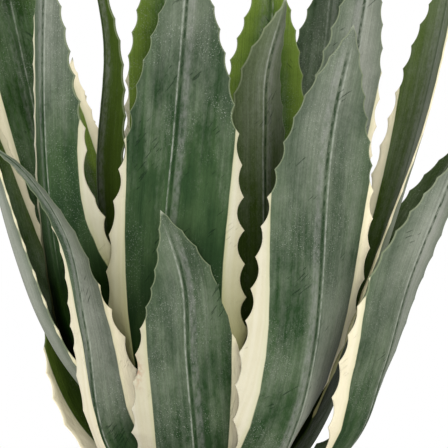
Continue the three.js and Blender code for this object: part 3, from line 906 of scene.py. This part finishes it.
# %% Terracotta
clay, tree = new_material("unglazed_terracotta")
place = add(tree, "TexCoord").outputs["Object"]
patches = add(tree, "TexNoise", {"Vector": place, "Scale": 18.0, "Detail": 4.0})
grain = add(tree, "TexNoise", {"Vector": place, "Scale": 900.0, "Detail": 3.0})
high = add(tree, "SeparateXYZ", {0: place}).outputs["Z"]
warm = add(tree, "MapRange", {"Value": patches, "From Min": 0.35, "From Max": 0.65}, **SMOOTH)
colour = add(tree, "Mix", {"Factor": warm, "A": "#9a5031", "B": "#b0683f"}, data_type="RGBA")
grit = {"Value": grain, "From Min": 0.45, "From Max": 0.7, "To Max": 0.35}
grit = add(tree, "MapRange", grit, **SMOOTH)
colour = add(tree, "Mix", {"Factor": grit, "A": colour, "B": "#c38a63"}, data_type="RGBA")
salty = add(tree, "MapRange", {"Value": patches, "From Min": 0.5, "From Max": 0.72}, **SMOOTH)
low = add(tree, "MapRange", {"Value": high, "From Max": 0.06, "To Min": 0.5, "To Max": 0.12}, **SMOOTH)
salty = add(tree, "Math", {0: salty, 1: low}, operation="MULTIPLY")
colour = add(tree, "Mix", {"Factor": salty, "A": colour, "B": "#cfb9a4"}, data_type="RGBA")
# The lines are about 3 mm apart: this many radians to a metre.
TURNING_LINES = 2100.0
turning = add(tree, "Math", {0: high, 1: TURNING_LINES, 2: patches}, operation="MULTIPLY_ADD")
turning = add(tree, "Math", {0: turning}, operation="SINE")
height = add(tree, "Math", {0: turning, 1: 0.05}, operation="MULTIPLY")
height = add(tree, "Math", {0: grain, 1: 0.12, 2: height}, operation="MULTIPLY_ADD")
bump = add(tree, "Bump", {"Height": height, "Strength": 1.0, "Distance": MM})
surface = {"Base Color": colour, "Normal": bump, "Roughness": 0.86, "IOR": 1.5}
add(tree, "OutputMaterial", {"Surface": add(tree, "BsdfPrincipled", surface)})
print("terracotta:", len(tree.nodes), "nodes")

# %% Pot
rim_foot = POT_HEIGHT - RIM_HEIGHT
profile = [
    (0, 0),
    (POT_FOOT_RADIUS - CHAMFER, 0),
    (POT_FOOT_RADIUS, CHAMFER),
    (outside_radius(rim_foot - CHAMFER), rim_foot - CHAMFER),
    (outside_radius(rim_foot) + RIM_OUT - CHAMFER, rim_foot),
    (outside_radius(rim_foot) + RIM_OUT, rim_foot + CHAMFER),
    (outside_radius(POT_HEIGHT) + RIM_OUT, POT_HEIGHT - CHAMFER),
    (outside_radius(POT_HEIGHT) + RIM_OUT - CHAMFER, POT_HEIGHT),
    (inside_radius(POT_HEIGHT) + CHAMFER, POT_HEIGHT),
    (inside_radius(POT_HEIGHT), POT_HEIGHT - CHAMFER),
    (inside_radius(POT_FLOOR), POT_FLOOR),
    (0, POT_FLOOR),
]
bm = spun(profile)
sharp = [e for e in bm.edges if e.is_manifold and e.calc_face_angle(0) > SHARP_ANGLE]
bmesh.ops.bevel(bm, geom=sharp, offset=SOFT_EDGE * MM, affect="EDGES", segments=3, profile=0.5, material=-1)
pot = piece("clay_pot", mesh_of("clay_pot", bm), clay, "pot")

# %% Drain holes
bm = bmesh.new()
for i in range(DRAIN_COUNT):
    angle = (i + 0.5) / DRAIN_COUNT * 2 * math.pi
    ring = Vector((math.cos(angle), math.sin(angle), 0)) * DRAIN_RING
    there = Matrix.Translation((ring + Vector((0, 0, POT_FLOOR / 2))) * MM)
    size = {"radius1": DRAIN_RADIUS * MM, "radius2": DRAIN_RADIUS * MM, "depth": 3 * POT_FLOOR * MM}
    bmesh.ops.create_cone(bm, cap_ends=True, segments=32, matrix=there, **size)
drill = bpy.data.objects.new("drill", mesh_of("drill", bm))
bpy.context.scene.collection.objects.link(drill)
cut = pot.modifiers.new("drain", "BOOLEAN")
cut.operation = "DIFFERENCE"
cut.object = drill
drilled = bpy.data.meshes.new_from_object(pot.evaluated_get(bpy.context.evaluated_depsgraph_get()))
pot.modifiers.clear()
pot.data = drilled
bpy.data.objects.remove(drill)
print("pot faces after drilling:", len(pot.data.polygons))

# %% [markdown]
# ## Soil
# Potting soil is a low mound of crumbs. The mound is a spun profile with noise in its surface, and
# loose crumbs of bark and a few white bits of perlite lie on it.

# %% Soil material
soil_material, tree = new_material("peaty_potting_soil")
place = add(tree, "TexCoord").outputs["Object"]
crumbs = add(tree, "TexNoise", {"Vector": place, "Scale": 260.0, "Detail": 5.0, "Roughness": 0.65})
patches = add(tree, "TexNoise", {"Vector": place, "Scale": 45.0, "Detail": 2.0})
dark = add(tree, "MapRange", {"Value": crumbs, "From Min": 0.35, "From Max": 0.65}, **SMOOTH)
colour = add(tree, "Mix", {"Factor": dark, "A": "#1b140f", "B": "#413225"}, data_type="RGBA")
drier = {"Value": patches, "From Min": 0.45, "From Max": 0.7, "To Max": 0.5}
drier = add(tree, "MapRange", drier, **SMOOTH)
colour = add(tree, "Mix", {"Factor": drier, "A": colour, "B": "#4e3d2e"}, data_type="RGBA")
bump = add(tree, "Bump", {"Height": crumbs, "Strength": 1.0, "Distance": 1.2 * MM})
surface = {"Base Color": colour, "Normal": bump, "Roughness": 0.95}
add(tree, "OutputMaterial", {"Surface": add(tree, "BsdfPrincipled", surface)})
print("soil material:", len(tree.nodes), "nodes")

# %% Sizes of the mound
SOIL_LEVEL = 167
SOIL_DOME = 5
SOIL_COLLAR = 6
SLOPE = 1.4
STEM_FOOT = 132
GAP = 0.3
# height and width of the lumps, in mm
LUMPS = ((1.6, 7), (0.8, 2.5))
soil_hole = STEM_RADIUS + GAP
soil_flat = soil_hole + SOIL_COLLAR
soil_edge = inside_radius(SOIL_LEVEL - SOIL_DOME) - GAP
print("soil from", soil_hole, "to", round(soil_edge, 1), "mm")


# %% Soil mound
def soil_height(r):
    """Height of the mound: level round the stem, and falling away to the wall."""
    return SOIL_LEVEL - SOIL_DOME * min(1, max(0, (r - soil_flat) / (soil_edge - soil_flat))) ** SLOPE


rings = np.linspace(soil_flat, soil_edge, 25)
profile = [(0, STEM_FOOT - GAP), (soil_hole, STEM_FOOT - GAP), (soil_hole, SOIL_LEVEL)]
profile += [(r, soil_height(r)) for r in rings]
profile += [(inside_radius(POT_FLOOR) - GAP, POT_FLOOR + GAP), (0, POT_FLOOR + GAP)]
bm = spun(profile)
for vertex in bm.verts:
    r = vertex.co.xy.length / MM
    if vertex.co.z > (SOIL_LEVEL - 2 * SOIL_DOME) * MM and soil_hole + 1 < r < soil_edge - 0.5:
        lump = sum(tall * noise.noise(vertex.co / (wide * MM)) for tall, wide in LUMPS)
        vertex.co.z += lump * MM
piece("soil_mound", mesh_of("soil_mound", bm), soil_material, "soil")

# %% Crumb material
crumb_material, tree = new_material("bark_and_perlite_crumbs")
place = add(tree, "TexCoord").outputs["Object"]
cell = add(tree, "TexVoronoi", {"Vector": place, "Scale": 190.0}).outputs["Color"]
shade = add(tree, "SeparateColor", {"Color": cell})
grit = add(tree, "TexNoise", {"Vector": place, "Scale": 700.0, "Detail": 3.0})
colour = add(tree, "Mix", {"Factor": shade, "A": "#241a12", "B": "#5c4430"}, data_type="RGBA")
perlite = add(tree, "MapRange", {"Value": shade, "From Min": 0.9, "From Max": 0.93}, **SMOOTH)
colour = add(tree, "Mix", {"Factor": perlite, "A": colour, "B": "#c6c2b6"}, data_type="RGBA")
bump = add(tree, "Bump", {"Height": grit, "Strength": 1.0, "Distance": 0.6 * MM})
surface = {"Base Color": colour, "Normal": bump, "Roughness": 0.92}
add(tree, "OutputMaterial", {"Surface": add(tree, "BsdfPrincipled", surface)})
print("crumb material:", len(tree.nodes), "nodes")

# %% Crumbs on the soil
CRUMBS = 620
CRUMB_SIZES = (1.0, 1.3, 1.6, 2.2, 3.2)
CRUMB_ROOM = 4
CRUMB_SUNK = 0.2
draw = random.Random(11)
bm = bmesh.new()
for i in range(CRUMBS):
    r = math.sqrt(draw.uniform((soil_hole + CRUMB_ROOM) ** 2, (soil_edge - CRUMB_ROOM) ** 2))
    a = draw.uniform(0, 2 * math.pi)
    size = draw.choice(CRUMB_SIZES) * draw.uniform(0.7, 1.1)
    made = bmesh.ops.create_icosphere(bm, subdivisions=1, radius=size * MM)["verts"]
    flat = Vector((draw.uniform(0.7, 1.5), draw.uniform(0.6, 1.2), draw.uniform(0.35, 0.8)))
    bmesh.ops.scale(bm, vec=flat, verts=made)
    for vertex in made:
        vertex.co *= 1 + 0.25 * noise.noise(vertex.co / (1.1 * MM) + Vector((i, 0, 0)))
    lean = Vector((draw.uniform(-0.5, 0.5), draw.uniform(-0.5, 0.5), 1))
    tilt = Vector((0, 0, 1)).rotation_difference(lean).to_matrix()
    bmesh.ops.rotate(bm, verts=made, cent=(0, 0, 0), matrix=tilt)
    there = Vector((r * math.cos(a), r * math.sin(a), soil_height(r) + size * CRUMB_SUNK)) * MM
    bmesh.ops.translate(bm, verts=made, vec=there)
piece("soil_crumbs", mesh_of("soil_crumbs", bm), crumb_material, "soil")

# %% [markdown]
# ## Stem and spear
# The leaves stand on a short stem, which the husks of old leaves make brown. At its top the leaves
# that haven't opened are rolled round each other into a pointed spear, whose edges wind up it. It is
# spun from a profile, and then each vertex is moved in by how far round it is from the nearest rolled
# edge.
#
# Young leaves are smooth and have no bloom yet, so they are a little glossier than the open ones. Their
# pale lips show where one is rolled over the next. Down the stem they turn to dry brown husk.

# %% Young leaf material
heart, tree = new_material("rolled_young_leaves")
place = add(tree, "TexCoord").outputs["Object"]
high = add(tree, "SeparateXYZ", {0: place}).outputs["Z"]
lip = add(tree, "Attribute", attribute_name="lip").outputs["Fac"]
stretched = add(tree, "Mapping", {"Vector": place, "Scale": (400, 400, 12)})
streak = add(tree, "TexNoise", {"Vector": stretched, "Scale": 1.0, "Detail": 3.0})
pale = add(tree, "MapRange", {"Value": streak, "From Min": 0.35, "From Max": 0.65}, **SMOOTH)
colour = add(tree, "Mix", {"Factor": pale, "A": "#40593c", "B": "#66785f"}, data_type="RGBA")
edge = add(tree, "MapRange", {"Value": lip, "From Min": 0.78, "From Max": 0.84}, **SMOOTH)
colour = add(tree, "Mix", {"Factor": edge, "A": colour, "B": "#cdc8a2"}, data_type="RGBA")
base = add(tree, "MapRange", {"Value": high, "From Min": 0.235, "From Max": 0.215}, **SMOOTH)
colour = add(tree, "Mix", {"Factor": base, "A": colour, "B": "#a5a678"}, data_type="RGBA")
husk = add(tree, "Mix", {"Factor": pale, "A": "#4a3a28", "B": "#8b7553"}, data_type="RGBA")
scar = add(tree, "Math", {0: streak, 1: 0.03, 2: high}, operation="MULTIPLY_ADD")
scar = add(tree, "MapRange", {"Value": scar, "From Min": 0.212, "From Max": 0.2}, **SMOOTH)
colour = add(tree, "Mix", {"Factor": scar, "A": colour, "B": husk}, data_type="RGBA")
bump = add(tree, "Bump", {"Height": streak, "Strength": 1.0, "Distance": 0.2 * MM})
surface = {"Base Color": colour, "Normal": bump, "Roughness": 0.5, "IOR": 1.42}
add(tree, "OutputMaterial", {"Surface": add(tree, "BsdfPrincipled", surface)})
print("stem material:", len(tree.nodes), "nodes")

# %% Profile of the stem and the spear
STEM_SHOULDER = 196
SPEAR_FOOT = 226
SPEAR_TOP = 372
SPEAR_RADIUS = 9
SPEAR_POINT = 4
PROFILE_STEPS = 12
corners = [
    (0, STEM_FOOT),
    (STEM_RADIUS, STEM_FOOT),
    (STEM_RADIUS, STEM_SHOULDER),
    (SPEAR_RADIUS * 1.45, SPEAR_FOOT),
    (SPEAR_RADIUS, SPEAR_FOOT * 0.8 + SPEAR_TOP * 0.2),
    (SPEAR_RADIUS * 0.8, SPEAR_FOOT * 0.4 + SPEAR_TOP * 0.6),
    (SPEAR_RADIUS * 0.17, SPEAR_TOP - SPEAR_POINT),
    (0, SPEAR_TOP),
]
profile = [tuple(point) for a, b in zip(corners, corners[1:])
           for point in np.linspace(a, b, PROFILE_STEPS, endpoint=False)]
print("profile of the stem:", len(profile) + 1, "points")

# %% Stem and spear
SPEAR_SPIN = 96
ROLLED_EDGES = 3
LIP = 1.1
TURNS_PER_MM = 0.5 / 150
LIP_GROWTH = 30
HUSK = 0.3
HUSK_GRAIN = 9
bm = spun([*profile, corners[-1]], SPEAR_SPIN)
lip_layer = bm.verts.layers.float.new("lip")
for vertex in bm.verts:
    z = vertex.co.z / MM
    r = vertex.co.xy.length / MM
    turn = math.atan2(vertex.co.y, vertex.co.x) / (2 * math.pi) + TURNS_PER_MM * z
    vertex[lip_layer] = (turn * ROLLED_EDGES) % 1
    if z > STEM_SHOULDER:
        dip = LIP * (1 - vertex[lip_layer]) * min(1, (z - STEM_SHOULDER) / LIP_GROWTH) * min(1, r / 5)
    else:
        dip = HUSK + HUSK * noise.noise(vertex.co / (HUSK_GRAIN * MM))
    vertex.co.xy *= max(0.1, 1 - dip / max(r, 0.1)) if r > 0.01 else 1
piece("stem_and_spear", mesh_of("stem_and_spear", bm), heart, "stem")
